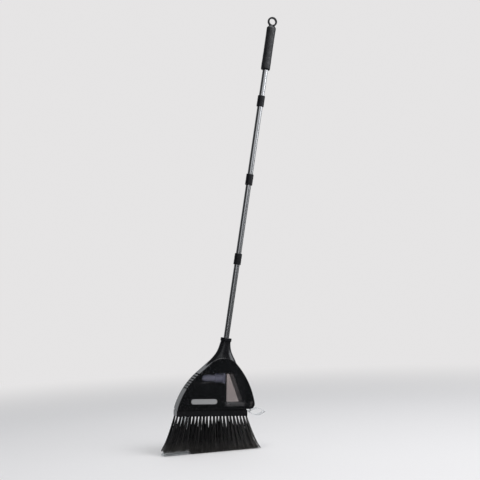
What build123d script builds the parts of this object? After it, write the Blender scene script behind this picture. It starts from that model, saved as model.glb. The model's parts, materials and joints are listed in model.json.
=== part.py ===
from build123d import *
import math
import os

# Vacuum broom: an angled floor brush whose housing holds a small battery fan.
# A spring-loaded nozzle in the bristles starts the fan when it is pressed on the floor.
# Millimetres, +Z up, front towards -Y. The brush stands on Z = 0 and the handle leans to +X.
#
# Head pieces are drawn in the head frame: X along the brush block, Z square to it from its
# underside, Y = 0 on the parting plane. Handle pieces are drawn in the handle frame, with Z
# along the tube and 0 at the middle of the neck collar.

# ---- placing of the two frames -------------------------------------------------------------
HANDLE_LEAN = 11.5          # handle against the vertical, towards +X
BLOCK_SLOPE = 3.86          # brush block against the floor, right end low
BLOCK_HEIGHT = 120.9        # underside of the block above the floor, at the head frame's origin
NECK_X, NECK_Z = 50.3, 258.4    # middle of the neck collar, in the head frame

# ---- handle --------------------------------------------------------------------------------
TUBE_R = 9.5
TUBE_WALL = 0.8
SECTION = 280.0             # distance from one screw joint to the next
JOINTS = 3
TUBE_GAP = 1.0              # between two tube ends inside a joint
INSERTION = 52.0            # first tube below the neck collar's middle
COLLAR_R, COLLAR_LENGTH = 12.75, 39.0
INSERT_LENGTH = 24.0
STUD_R, STUD_LENGTH = 6.0, 20.0
FIT = 0.06                  # radial play of pushed-together round pieces
GRIP_R, GRIP_START, GRIP_END = 16.0, 953.0, 1107.0
EYE_R, EYE_HOLE_R, EYE_THICK, EYE_Z = 17.0, 11.0, 7.0, 1127.6
NECK_COLLAR_R, NECK_COLLAR_HEIGHT = 19.0, 12.0

# ---- housing -------------------------------------------------------------------------------
FRONT_Y, REAR_Y = -32.0, 32.0
WALL = 2.5
FRONT_EDGE, REAR_EDGE = 1.0, 3.0
HOUSING_BOTTOM = 24.0
LOUVRES, LOUVRE_PITCH, LOUVRE_HEIGHT, LOUVRE_START = 7, 7.8, 3.4, 93.5
LOUVRE_REACH = 4.6          # how far a slot runs in from the outline
COVER_INSET, COVER_THICK, COVER_LEDGE, LEDGE_THICK = 3.5, 2.4, 3.0, 2.0
COVER_STEP = 0.5
# Screw bosses: X, Z and the direction of the web that ties each one to the wall.
BOSSES = [(-91, 79, -1, 0), (133, 64, 1, 0), (107, 122, 1, 0), (-19, 155, 0, 1), (5, 173, 0, 1), (75, 170, 0, 1)]
WEB = 1.6
BOSS_R, PILOT_R, SCREW_R, SCREW_HEAD_R = 4.75, 1.5, 1.45, 2.9
FRONT_BOSS_R, FRONT_BOSS_Y = 4.0, -26.0
SCREW_SEAT, SCREW_TIP = 9.0, -11.0
PLATE_X, PLATE_Z, PLATE_LENGTH, PLATE_WIDTH = -30.0, 50.0, 90.0, 17.0

# ---- brush ---------------------------------------------------------------------------------
BLOCK_X, BLOCK_Y, BLOCK_Z = 123.0, 29.0, 20.0
BLOCK_CORNER = 2.5
PAD_INSET = 3.0
TONGUE_X0, TONGUE_X1 = -66.0, 42.0
ROW_INNER, ROW_OUTER = 9.6, 26.0    # depth taken by the front and rear bristle rows

# ---- suction nozzle ------------------------------------------------------------------------
STEM_X0, STEM_X1, STEM_Y, STEM_TOP = -104.0, -75.0, 8.0, 46.0
MOUTH_X0 = -165.0
MOUTH_LIP_Y, LIP_HEIGHT = 19.0, 6.0
NOZZLE_WALL = 1.6
NOZZLE_TRAVEL = 5.0
FLOOR_GAP = 0.5
NOZZLE_CLEAR = FLOOR_GAP + LIP_HEIGHT + NOZZLE_TRAVEL + 1    # bristles round the nozzle end here
ARM_Z0, ARM_Z1, ARM_REACH = 30.0, 34.0, 20.0
ARM_X = (STEM_X0 + STEM_X1) / 2

# ---- dust chamber, drawer and fan ----------------------------------------------------------
CHAMBER_X, CHAMBER_BOTTOM, CHAMBER_TOP = 46.0, 47.0, 145.0
CHAMBER_WALL = 2.0
CHAMBER_Y = 29.0
WINDOW_Z0, WINDOW_Z1 = 43.0, 140.0
WINDOW_FOOT_X, WINDOW_HEAD_X = 107.3, 70.5      # right edge of the sight window
DUCT_Z0, DUCT_Z1, DUCT_WALL, DUCT_CORNER_Z = 50.0, 66.0, 1.6, 52.0
FLAP_PIN_Z, FLAP_PIN_X, FLAP_PIN_R = 69.5, CHAMBER_X + 4.6, 1.0
DRAWER_X0, DRAWER_X1, DRAWER_Y, DRAWER_Z0, DRAWER_Z1 = 49.5, 145.0, 18.8, 26.9, 45.0
DRAWER_WALL = 1.6
LOOP_X0, LOOP_X1, LOOP_TIP_Z, LOOP_HIGH, LOOP_WALL, LOOP_Y = 134.0, 190.0, 13.0, 24.0, 1.8, 15.0
FAN_Z, FAN_X0, FAN_X1, FAN_R = 127.0, 12.0, 39.0, 17.0
WHEEL_X, WHEEL_R, HUB_LENGTH, BLADE_DEPTH = FAN_X0 + 6, 12.8, 13.0, 12.0
MOTOR_R, MOTOR_X0 = 10.2, -16.0
FAIRING_R, FAIRING_TIP, FAIRING_WALL, FAIRING_STRAIGHT = 12.4, -33.0, 1.4, 14.0
BLADES = 9

# ---- batteries -----------------------------------------------------------------------------
CELL_R, CELL_LENGTH, CELL_PITCH, CELLS = 7.15, 50.0, 15.5, 4
CELL_X0, CELL_Y, CELL_Z0 = -55.5, 19.4, 50.5
DOOR_X0, DOOR_X1, DOOR_Z1 = -62.0, 1.0, 108.0
DOOR_THICK, DOOR_PLAY = 2.5, 0.35
RAIL_Y0, RAIL_Y1, RAIL_REACH = 30.3, 31.3, 2.0


def block(x0, x1, y0, y1, z0, z1):
    """Box between two corners."""
    return Pos((x0 + x1) / 2, (y0 + y1) / 2, (z0 + z1) / 2) * Box(x1 - x0, y1 - y0, z1 - z0)


def rod_x(radius, x0, x1, y, z):
    """Cylinder along X."""
    return Pos((x0 + x1) / 2, y, z) * Rot(0, 90, 0) * Cylinder(radius, x1 - x0)


def rod_y(radius, y0, y1, x, z):
    """Cylinder along Y."""
    return Pos(x, (y0 + y1) / 2, z) * Rot(90, 0, 0) * Cylinder(radius, y1 - y0)


def rod_z(radius, z0, z1, x=0, y=0):
    """Cylinder along Z."""
    return Pos(x, y, (z0 + z1) / 2) * Cylinder(radius, z1 - z0)


def tube_z(outer, inner, z0, z1):
    """Round tube along Z."""
    return rod_z(outer, z0, z1) - rod_z(inner, z0 - 1, z1 + 1)


def prism(profile, y0, y1):
    """Solid between two depths, from a profile whose x and y are the frame's X and Z."""
    return extrude(Pos(0, y1, 0) * (Plane.XZ * profile), y1 - y0)


def polygon(*points):
    """Flat face with straight sides."""
    return make_face(Polyline(*points, close=True))


# ---- handle pieces -------------------------------------------------------------------------

def handle_tube(index):
    """Steel tube section, counted from the head."""
    low = -INSERTION if index == 0 else index * SECTION + TUBE_GAP / 2
    high = GRIP_END - 1 if index == JOINTS else (index + 1) * SECTION - TUBE_GAP / 2
    return tube_z(TUBE_R, TUBE_R - TUBE_WALL, low, high)


def coupling_collar(index):
    """Plastic sleeve that covers a screw joint, with a waist between two rounded ends."""
    middle = (index + 1) * SECTION
    half = COLLAR_LENGTH / 2
    sleeve = rod_z(COLLAR_R, middle - half, middle + half)
    sleeve = fillet(sleeve.edges().filter_by(GeomType.CIRCLE), 1.6)
    waist = tube_z(COLLAR_R + 2, COLLAR_R - 0.5, middle - 1.2, middle + 1.2)
    return sleeve - waist - rod_z(TUBE_R + FIT, middle - half - 1, middle + half + 1)


def thread_insert(index):
    """Female insert in the lower tube of a joint."""
    top = (index + 1) * SECTION - TUBE_GAP / 2
    return tube_z(TUBE_R - TUBE_WALL - FIT, STUD_R + FIT, top - INSERT_LENGTH, top)


def thread_stud(index):
    """Male stud that is fixed in the upper tube of a joint."""
    bottom = (index + 1) * SECTION + TUBE_GAP / 2
    spigot = rod_z(TUBE_R - TUBE_WALL - FIT, bottom, bottom + INSERT_LENGTH)
    stud = rod_z(STUD_R, bottom - STUD_LENGTH, bottom)
    return spigot + chamfer(stud.edges().sort_by(Axis.Z)[0], 1.2)


def neck_collar():
    """Ring that closes the neck round the first tube."""
    half = NECK_COLLAR_HEIGHT / 2
    ring = rod_z(NECK_COLLAR_R, -half, half)
    ring = fillet(ring.edges().filter_by(GeomType.CIRCLE), 1.8)
    return ring - rod_z(TUBE_R + FIT, -half - 1, half + 1)


def foam_grip():
    """Foam sleeve, a little fuller at its lower end."""
    r = GRIP_R
    edge = 3.0
    profile = make_face(Curve() + [
        Line((TUBE_R + FIT, GRIP_START), (r - edge, GRIP_START)),
        RadiusArc((r - edge, GRIP_START), (r + 0.6, GRIP_START + edge + 1), -edge - 1),
        Spline((r + 0.6, GRIP_START + edge + 1), (r - 0.2, GRIP_START + 30), (r, GRIP_END - edge)),
        RadiusArc((r, GRIP_END - edge), (r - edge, GRIP_END), -edge),
        Line((r - edge, GRIP_END), (TUBE_R + FIT, GRIP_END)),
        Line((TUBE_R + FIT, GRIP_END), (TUBE_R + FIT, GRIP_START)),
    ])
    return revolve(Plane.XZ * profile, Axis.Z)


def hang_eye():
    """End cap with its plug in the tube and a round eye to hang the broom by."""
    plug = rod_z(TUBE_R - TUBE_WALL - FIT, GRIP_END - 24, GRIP_END)
    flange = Pos(0, 0, GRIP_END) * Cone(14.5, 9.5, 6, align=(Align.CENTER, Align.CENTER, Align.MIN))
    eye = rod_y(EYE_R, -EYE_THICK / 2, EYE_THICK / 2, 0, EYE_Z)
    eye = fillet(eye.edges().filter_by(GeomType.CIRCLE), 1.5)
    hole = rod_y(EYE_HOLE_R, -20, 20, 0, EYE_Z)
    return plug + (flange + eye - hole)


# ---- housing -------------------------------------------------------------------------------

def body_outline():
    """Outline of the deep part: full left flank, arched top, steep right flank, round right foot."""
    bottom, hip = HOUSING_BOTTOM, 46
    left_foot, left_shoulder, arch_left = (-122, bottom), (-42, 149), (-8, 179)
    arch_right, right_hip, right_foot = (79, 180), (147, hip), (134, bottom)
    return make_face(Curve() + [
        ThreePointArc(left_foot, (-97, 84), left_shoulder),
        Line(left_shoulder, arch_left),
        ThreePointArc(arch_left, (37, 197), arch_right),
        ThreePointArc(arch_right, (120.5, 122), right_hip),
        ThreePointArc(right_hip, (144.5, 31), right_foot),
        Line(right_foot, left_foot),
    ])


def inset(distance):
    """Outline of the front and rear faces, moved inwards."""
    return offset(body_outline(), -distance, kind=Kind.INTERSECTION)


def above_foot(edge):
    """True for an edge that is clear of the housing's flat underside."""
    return edge.center().Z > HOUSING_BOTTOM + 1


def deep_body():
    """Outside of the deep part, with its front and rear edges broken but for the underside."""
    solid = prism(body_outline(), FRONT_Y, REAR_Y)
    front = [e for e in solid.faces().sort_by(Axis.Y)[0].edges() if above_foot(e)]
    solid = chamfer(front, FRONT_EDGE)
    rear = [e for e in solid.faces().sort_by(Axis.Y)[-1].edges() if above_foot(e)]
    return chamfer(rear, REAR_EDGE)


def neck_body():
    """Trumpet neck from a round top to a broad foot inside the deep part."""
    to_handle = Location((NECK_X, 0, NECK_Z), (0, HANDLE_LEAN - BLOCK_SLOPE, 0))
    top = to_handle * Pos(0, 0, -NECK_COLLAR_HEIGHT / 2) * Circle(17)
    rows = [(234, 25.5, 66.5, 17), (219, 19, 69.5, 17.5), (205, 9.5, 75, 18), (191, -3, 82, 19),
            (177, -15, 88, 20), (163, -24, 94, 21)]
    sections = [Pos((x0 + x1) / 2, 0, z) * Ellipse((x1 - x0) / 2, depth) for z, x0, x1, depth in rows]
    return loft([top] + sections)


def cavity():
    """Inside of the deep part."""
    return prism(inset(WALL), FRONT_Y + COVER_THICK + LEDGE_THICK, REAR_Y - WALL)


def louvre_slots():
    """Exhaust slots that wrap the left shoulder from the front face round to the side."""
    core = prism(inset(LOUVRE_REACH), FRONT_Y - 1, REAR_Y)
    slots = []
    for i in range(LOUVRES):
        z = LOUVRE_START + i * LOUVRE_PITCH
        slots.append(block(-140, -30, FRONT_Y - 1, 22, z, z + LOUVRE_HEIGHT) - core)
    return slots


def openings_below():
    """Passages through the underside: nozzle, brush block tongue and drawer."""
    nozzle = block(STEM_X0 - 2, STEM_X1 + 2, -STEM_Y - 2, STEM_Y + 2, 10, 29)
    tongue = block(TONGUE_X0 - 0.3, TONGUE_X1 + 0.3, -16.3, 16.3, 10, 29)
    drawer = block(128, 170, -DRAWER_Y - 0.6, DRAWER_Y + 0.6, 10, DRAWER_Z1 + 0.6)
    return [nozzle, tongue, drawer]


def tube_socket():
    """Bore in the neck for the first tube."""
    bore = rod_z(TUBE_R + FIT, -INSERTION, 20)
    return Location((NECK_X, 0, NECK_Z), (0, HANDLE_LEAN - BLOCK_SLOPE, 0)) * bore


def housing():
    """Both shells in one, hollow, with the openings that cross the parting plane."""
    solid = deep_body() + neck_body() - cavity() - tube_socket()
    for cut in louvre_slots() + openings_below():
        solid -= cut
    return solid


def webs(y0, y1):
    """Plates that tie the screw bosses to the wall."""
    plates = []
    for x, z, right, up in BOSSES:
        across, along = WEB / 2, 25
        x0, x1 = sorted((x, x + right * along)) if right else (x - across, x + across)
        z0, z1 = sorted((z, z + up * along)) if up else (z - across, z + across)
        plates.append(block(x0, x1, y0, y1, z0, z1))
    return (plates[0] + plates[1:]) & deep_body()


def front_shell():
    """Front half: frame with a ledge for the smoked cover, and screw bosses."""
    shell = housing() & block(-200, 200, -60, 0, 0, 300)
    shell -= prism(inset(COVER_INSET), FRONT_Y - 1, FRONT_Y + COVER_THICK)
    shell -= prism(inset(COVER_INSET + COVER_LEDGE), FRONT_Y - 1, FRONT_Y + 8)
    shell += webs(FRONT_BOSS_Y + 1, -1)
    for x, z, *_ in BOSSES:
        shell += rod_y(FRONT_BOSS_R, FRONT_BOSS_Y, 0, x, z)
    for x, z, *_ in BOSSES:
        shell -= rod_y(PILOT_R, SCREW_TIP - 3, 1, x, z)
    return shell


def window_profile(margin):
    """Four-sided sight window of the dust chamber; margin shrinks it."""
    x0 = CHAMBER_X + CHAMBER_WALL + margin
    z0, z1 = WINDOW_Z0 + margin, WINDOW_Z1 - margin
    return polygon((x0, z0), (WINDOW_FOOT_X - margin, z0), (WINDOW_HEAD_X - margin, z1), (x0, z1))


def rear_shell():
    """Rear half: screw bosses, sliding door's opening and grooves, sight window, fan cradle."""
    shell = housing() & block(-200, 200, 0, 60, 0, 300)
    shell += webs(1, REAR_Y - WALL)
    for x, z, *_ in BOSSES:
        shell += rod_y(BOSS_R, 0, REAR_Y - WALL + 0.5, x, z)
    cradle = block(FAN_X0 + 5, FAN_X0 + 21, 12, REAR_Y - WALL, FAN_Z - 8, FAN_Z + 8)
    shell += cradle - rod_x(FAN_R + 1.6, FAN_X0 + 1, FAN_X1 - 1, 0, FAN_Z)
    for x, z, *_ in BOSSES:
        shell -= rod_y(PILOT_R + 0.2, -1, SCREW_SEAT + 1, x, z)
        shell -= rod_y(SCREW_HEAD_R + 0.2, SCREW_SEAT, REAR_Y + 1, x, z)
    play = DOOR_PLAY
    shell -= block(DOOR_X0 - play, DOOR_X1 + play, REAR_Y - WALL - 0.01, REAR_Y + 1, 10, DOOR_Z1 + play)
    grooves = block(DOOR_X0 - RAIL_REACH - play, DOOR_X1 + RAIL_REACH + play,
                    RAIL_Y0 - play, RAIL_Y1 + play, 10, DOOR_Z1 + play)
    shell -= grooves
    return shell - prism(window_profile(0), REAR_Y - WALL - 1, REAR_Y + 1)


def smoked_cover():
    """Glossy smoked panel over the whole front face, with a thin raised middle."""
    panel = prism(inset(COVER_INSET + 0.15), FRONT_Y + COVER_STEP, FRONT_Y + COVER_THICK)
    return panel + prism(inset(COVER_INSET + 0.15 + COVER_STEP), FRONT_Y, FRONT_Y + COVER_THICK)


def rear_window():
    """Smoked pane behind the dust chamber."""
    return prism(window_profile(0.1), REAR_Y - WALL, REAR_Y - 0.4)


def name_plate():
    """Blank rounded badge on the cover."""
    plate = SlotOverall(PLATE_LENGTH, PLATE_WIDTH)
    return prism(Pos(PLATE_X, PLATE_Z) * plate, FRONT_Y - 0.9, FRONT_Y)


def housing_screws():
    """Self-tapping screws that draw the shells together."""
    screws = []
    for x, z, *_ in BOSSES:
        shank = rod_y(SCREW_R, SCREW_TIP, SCREW_SEAT, x, z)
        head = rod_y(SCREW_HEAD_R, SCREW_SEAT, SCREW_SEAT + 2.2, x, z)
        cross = block(x - 1.6, x + 1.6, SCREW_SEAT + 1, SCREW_SEAT + 3, z - 0.35, z + 0.35)
        cross += block(x - 0.35, x + 0.35, SCREW_SEAT + 1, SCREW_SEAT + 3, z - 1.6, z + 1.6)
        screws.append(shank + head - cross)
    return Compound(children=screws)


# ---- brush ---------------------------------------------------------------------------------

def brush_block():
    """Bristle block with a raised pad under the housing and a flanged tongue that the shells hold."""
    base = block(-BLOCK_X, BLOCK_X, -BLOCK_Y, BLOCK_Y, 0, BLOCK_Z)
    base = fillet(base.edges().filter_by(Axis.Z), BLOCK_CORNER)
    base = chamfer(base.faces().sort_by(Axis.Z)[-1].edges(), 1.0)
    pad_x, pad_y = BLOCK_X - PAD_INSET, BLOCK_Y - PAD_INSET
    pad = block(-pad_x, pad_x, -pad_y, pad_y, BLOCK_Z - 1, HOUSING_BOTTOM - 0.2)
    tongue = block(TONGUE_X0, TONGUE_X1, -16, 16, BLOCK_Z - 1, HOUSING_BOTTOM + WALL + 0.2)
    flange = block(TONGUE_X0, TONGUE_X1, -19.5, 19.5, HOUSING_BOTTOM + WALL + 0.2, 30)
    guide = block(STEM_X0 - 0.5, STEM_X1 + 0.5, -STEM_Y - 0.5, STEM_Y + 0.5, -1, HOUSING_BOTTOM)
    return base + pad + tongue + flange - guide


def floor_at(x, height=0):
    """Head-frame Z of a point that is this high above the floor."""
    slope = math.radians(BLOCK_SLOPE)
    return (height - BLOCK_HEIGHT + x * math.sin(slope)) / math.cos(slope)


def bristle_row(y0, y1):
    """One outer row of bristles, fanned along the block and cut short round the nozzle."""
    step_x, left, right = STEM_X1 + 4, -165, 173
    outline = make_face(Curve() + [
        Line((-118, 0), (118, 0)),
        Spline((118, 0), (138, -55), (right, floor_at(right, 8))),
        Polyline((right, floor_at(right, 8)), (right - 12, floor_at(right - 12)), (step_x, floor_at(step_x))),
        Line((step_x, floor_at(step_x)), (step_x, floor_at(step_x, NOZZLE_CLEAR))),
        Line((step_x, floor_at(step_x, NOZZLE_CLEAR)), (left + 6, floor_at(left + 6, NOZZLE_CLEAR))),
        Line((left + 6, floor_at(left + 6, NOZZLE_CLEAR)), (left, floor_at(left, NOZZLE_CLEAR + 9))),
        Spline((left, floor_at(left, NOZZLE_CLEAR + 9)), (-136, -55), (-118, 0)),
    ])
    return prism(outline, y0, y1)


def bristle_core():
    """Middle rows of bristles, to the right of the nozzle."""
    left, right = STEM_X1 + 8, 168
    outline = make_face(Curve() + [
        Line((left, 0), (118, 0)),
        Spline((118, 0), (137, -55), (right, floor_at(right, 8))),
        Polyline((right, floor_at(right, 8)), (right - 12, floor_at(right - 12)), (left, floor_at(left))),
        Line((left, floor_at(left)), (left, 0)),
    ])
    return prism(outline, -ROW_INNER, ROW_INNER)


# ---- suction nozzle ------------------------------------------------------------------------

def floor_plane(x, height):
    """Plane parallel to the floor, at a head-frame X and a height above the floor."""
    slope = math.radians(BLOCK_SLOPE)
    normal = (-math.sin(slope), 0, math.cos(slope))
    along = (math.cos(slope), 0, math.sin(slope))
    return Plane(origin=(x, 0, floor_at(x, height)), x_dir=along, z_dir=normal)


def nozzle_solid(thin):
    """Nozzle as a solid: a straight stem, a fan-shaped throat and a flared lip."""
    stem_x = (STEM_X0 + STEM_X1) / 2
    mouth_x = (MOUTH_X0 + STEM_X1) / 2
    stem_width, mouth_width = STEM_X1 - STEM_X0 - 2 * thin, STEM_X1 - MOUTH_X0 - 2 * thin
    depth = 2 * (STEM_Y - thin)
    throat_top = Pos(stem_x, 0, -6) * RectangleRounded(stem_width, depth, 3 - thin)
    throat_end = floor_plane(mouth_x, FLOOR_GAP + LIP_HEIGHT) * RectangleRounded(mouth_width, depth, 3 - thin)
    lip_end = floor_plane(mouth_x, FLOOR_GAP) * RectangleRounded(mouth_width, 2 * (MOUTH_LIP_Y - thin), 3 - thin)
    stem = extrude(throat_top, STEM_TOP + 6)
    return stem + loft([throat_top, throat_end]) + loft([throat_end, lip_end])


def suction_nozzle():
    """Clear sprung nozzle with two arms: the front one works the switch, the rear one the spring."""
    outer = nozzle_solid(0)
    arms = block(ARM_X - 4, ARM_X + 4, -ARM_REACH, ARM_REACH, ARM_Z0, ARM_Z1)
    inner = nozzle_solid(NOZZLE_WALL)
    top_cut = block(STEM_X0 + NOZZLE_WALL, STEM_X1 - NOZZLE_WALL, -STEM_Y + NOZZLE_WALL,
                    STEM_Y - NOZZLE_WALL, STEM_TOP - 1, STEM_TOP + 1)
    return outer + arms - inner - top_cut


def nozzle_spring():
    """Compression spring between the nozzle's rear arm and the duct."""
    radius, wire, turns = 3.4, 0.45, 6
    low, high = ARM_Z1 + wire, 52 - wire
    path = Helix((high - low) / turns, high - low, radius)
    start = Plane(origin=path @ 0, z_dir=path % 0)
    coil = sweep(start * Circle(wire), path)
    return Pos(ARM_X, 15, low) * coil


def trigger_switch():
    """Push switch over the nozzle's front arm."""
    body = block(ARM_X - 7, ARM_X + 7, -22, -12, 41, 57)
    pins = [block(ARM_X - 4 + i * 4, ARM_X - 3.2 + i * 4, -18, -16, 57, 61) for i in range(3)]
    return body - rod_z(1.56, 40, 54, ARM_X, -17) + pins


def switch_plunger():
    """Plunger that rests on the nozzle's arm and rises with it."""
    return rod_z(1.5, ARM_Z1, 46, ARM_X, -17)


# ---- air path ------------------------------------------------------------------------------

def duct_profile(wall):
    """Side view of the duct: sleeve over the stem, slanted elbow and run to the chamber."""
    x0, x1 = STEM_X0 - 0.4 - wall, STEM_X1 + 0.4 + wall
    low, high = DUCT_Z0 - wall, DUCT_Z1 + wall
    end = CHAMBER_X if wall else CHAMBER_X + 1
    sleeve_end = 40 if wall else 39
    return polygon((x0, sleeve_end), (x0, DUCT_CORNER_Z), (x0 + 9, high), (end, high), (end, low), (x1, low), (x1, sleeve_end))


def suction_duct():
    """Duct from the nozzle's stem, across the head, to the dust chamber, with a spring seat."""
    wall, y1 = DUCT_WALL, STEM_Y + 0.4
    outer = prism(duct_profile(wall), -y1 - wall, y1 + wall)
    outer += block(ARM_X - 6, ARM_X + 6, y1, 20, 52, 54)
    return outer - prism(duct_profile(0), -y1, y1)


def dust_chamber():
    """Partition that bounds the chamber: straight left wall, closed top, sloping right wall."""
    x0, x1 = CHAMBER_X, CHAMBER_X + CHAMBER_WALL
    z0, z1 = CHAMBER_BOTTOM, CHAMBER_TOP
    run = (WINDOW_FOOT_X - WINDOW_HEAD_X) / (WINDOW_Z1 - WINDOW_Z0)

    def slant(z):
        return WINDOW_HEAD_X + 0.5 + (WINDOW_Z1 - z) * run
    ceiling, outside = z1 - CHAMBER_WALL, 1.2 * CHAMBER_WALL
    outline = polygon((x0, z0), (x1, z0), (x1, ceiling), (slant(ceiling), ceiling),
                      (slant(z0), z0), (slant(z0) + outside, z0), (slant(z1) + outside, z1), (x0, z1))
    walls = prism(outline, -CHAMBER_Y, CHAMBER_Y)
    lugs = block(x1 - 1, FLAP_PIN_X + 2, -12, 12, FLAP_PIN_Z - 2.2, FLAP_PIN_Z + 2.2)
    lugs -= block(x1, FLAP_PIN_X + 3, -9.4, 9.4, FLAP_PIN_Z - 3, FLAP_PIN_Z + 3)
    walls += lugs
    walls -= rod_y(FLAP_PIN_R + FIT, -13, 13, FLAP_PIN_X, FLAP_PIN_Z)
    walls -= block(x0 - 1, x1 + 0.01, -STEM_Y - 0.4, STEM_Y + 0.4, DUCT_Z0, DUCT_Z1)
    return walls - rod_x(13, x0 - 1, x1 + 1, 0, FAN_Z)


def inlet_flap():
    """Flap that stops dust falling back, with its pin moulded on."""
    pin = rod_y(FLAP_PIN_R, -11.5, 11.5, FLAP_PIN_X, FLAP_PIN_Z)
    barrel = rod_y(1.8, -9, 9, FLAP_PIN_X, FLAP_PIN_Z)
    plate = block(FLAP_PIN_X - 1.8, FLAP_PIN_X - 0.8, -9, 9, DUCT_Z0 - 1.5, FLAP_PIN_Z)
    return pin + barrel + plate


def filter_frame():
    """Square frame that seats the filter on the chamber wall."""
    x0, x1 = FAN_X1 + 0.2, CHAMBER_X
    frame = block(x0, x1, -18, 18, FAN_Z - 17, FAN_Z + 17) - rod_x(13, x0 - 1, x1 + 1, 0, FAN_Z)
    return frame - rod_x(15.5, x0 + 2, x1 + 1, 0, FAN_Z)


def filter_pad():
    """Round pleated filter."""
    return rod_x(15.2, FAN_X1 + 2.4, CHAMBER_X - 0.2, 0, FAN_Z)


def fan_shroud():
    """Fan casing: drum with two flanges, a bulkhead for the motor and outlet slots."""
    drum = rod_x(FAN_R - 1.5, FAN_X0, FAN_X1, 0, FAN_Z)
    for x in (FAN_X0, FAN_X0 + 12, FAN_X1 - 2.5):
        drum += rod_x(FAN_R, x, x + 2.5, 0, FAN_Z)
    drum -= rod_x(FAN_R - 3, FAN_X0 + 2, FAN_X1 + 1, 0, FAN_Z)
    drum -= rod_x(3.2, FAN_X0 - 1, FAN_X0 + 3, 0, FAN_Z)
    for i in range(8):
        slot = block(FAN_X0 + 4, FAN_X0 + 11, -2, 2, FAN_R - 5, FAN_R + 2)
        drum -= Pos(0, 0, FAN_Z) * Rot(22.5 + 45 * i, 0, 0) * slot
    return drum


def impeller():
    """Fan wheel with curved blades on a back plate."""
    wheel = rod_x(WHEEL_R, WHEEL_X, WHEEL_X + 1.6, 0, FAN_Z) + rod_x(4, WHEEL_X, WHEEL_X + HUB_LENGTH, 0, FAN_Z)
    for i in range(BLADES):
        arc = ThreePointArc((3.5, 0), (8, 1.6), (12.6, 0))
        blade = extrude(offset(arc, 0.45, side=Side.BOTH), BLADE_DEPTH)
        wheel += Pos(WHEEL_X + 1, 0, FAN_Z) * Rot(360 / BLADES * i, 0, 0) * Rot(0, 90, 0) * blade
    return wheel - rod_x(1.02, WHEEL_X - 5, WHEEL_X + 15, 0, FAN_Z)


def motor_shaft():
    """Steel motor shaft."""
    return rod_x(1.0, MOTOR_X0 + 4, WHEEL_X + HUB_LENGTH - 0.5, 0, FAN_Z)


def fan_motor():
    """Direct-current motor can with its nose boss and end cap."""
    can = rod_x(MOTOR_R, MOTOR_X0, FAN_X0 - 1.5, 0, FAN_Z)
    can = fillet(can.edges().filter_by(GeomType.CIRCLE), 1.2)
    can += rod_x(3, FAN_X0 - 2, FAN_X0 - 0.2, 0, FAN_Z)
    can += rod_x(6.5, MOTOR_X0 - 2, MOTOR_X0 + 0.5, 0, FAN_Z)
    return can - rod_x(1.05, MOTOR_X0 + 3, FAN_X0 + 1, 0, FAN_Z)


def motor_fairing():
    """Bullet-shaped cover over the motor."""
    def bullet(radius, tip, base):
        nose = make_face(Curve() + [
            Line((tip, 0), (base, 0)),
            Line((base, 0), (base, radius)),
            Line((base, radius), (base - FAIRING_STRAIGHT, radius)),
            Spline((base - FAIRING_STRAIGHT, radius), (tip, 0), tangents=[(-1, 0), (0.25, -1)]),
        ])
        return Pos(0, 0, FAN_Z) * revolve(nose, Axis.X)
    shell = bullet(FAIRING_R, FAIRING_TIP, FAN_X0 - 0.1)
    return shell - bullet(FAIRING_R - FAIRING_WALL, FAIRING_TIP + 2, FAN_X0 + 1)


def dust_drawer():
    """Clear drawer under the chamber, with an oval finger loop outside the housing."""
    x0, x1, y1, z0, z1 = DRAWER_X0, DRAWER_X1, DRAWER_Y, DRAWER_Z0, DRAWER_Z1
    wall = DRAWER_WALL
    tray = block(x0, x1, -y1, y1, z0, z1)
    tray -= block(x0 + wall, x1 - wall, -y1 + wall, y1 - wall, z0 + wall, z1 + 1)
    top_cut = polygon((128, z1 + 1), (x1 + 1, z1 + 1), (x1 + 1, 40))
    tray -= prism(top_cut, y1 - wall - 0.1, y1 + 1) + prism(top_cut, -y1 - 1, -y1 + wall + 0.1)

    def lens(margin):
        left, right = (LOOP_X0 + margin, LOOP_TIP_Z), (LOOP_X1 - margin, LOOP_TIP_Z)
        middle = (LOOP_X0 + LOOP_X1) / 2
        upper = ThreePointArc(left, (middle, LOOP_HIGH - margin), right)
        lower = ThreePointArc(right, (middle, margin), left)
        return make_face(Curve() + [upper, lower])
    loop = prism(lens(0), -LOOP_Y, LOOP_Y) - prism(lens(LOOP_WALL), -LOOP_Y - 1, LOOP_Y + 1)
    web = block(139, x1, -12, 12, 18.6, z0 + 1)
    return tray + loop + web


# ---- batteries -----------------------------------------------------------------------------

def battery_tray():
    """Open box that holds the four cells."""
    x0, x1 = CELL_X0 - 5, CELL_X0 + CELL_LENGTH + 5
    z0, z1 = CELL_Z0 - CELL_R - 2.2, CELL_Z0 + (CELLS - 1) * CELL_PITCH + CELL_R + 2.2
    box = block(x0, x1, 10.4, 27.2, z0, z1) - block(x0 + 1.5, x1 - 1.5, 11.9, 28, z0 + 1.5, z1 - 1.5)
    for i in range(CELLS - 1):
        z = CELL_Z0 + (i + 0.5) * CELL_PITCH
        box += block(x0 + 8, x1 - 8, 11, 14, z - 0.4, z + 0.4)
    return box


def battery_cell(index):
    """One AA cell; neighbours point opposite ways."""
    z = CELL_Z0 + index * CELL_PITCH
    turned = index % 2
    low, high = CELL_X0, CELL_X0 + CELL_LENGTH
    can = rod_x(CELL_R, low + (1 if turned else 0), high - (0 if turned else 1), CELL_Y, z)
    can = fillet(can.edges().filter_by(GeomType.CIRCLE), 0.5)
    return can + rod_x(2.6, low, low + 2, CELL_Y, z) if turned else can + rod_x(2.6, high - 2, high, CELL_Y, z)


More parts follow.
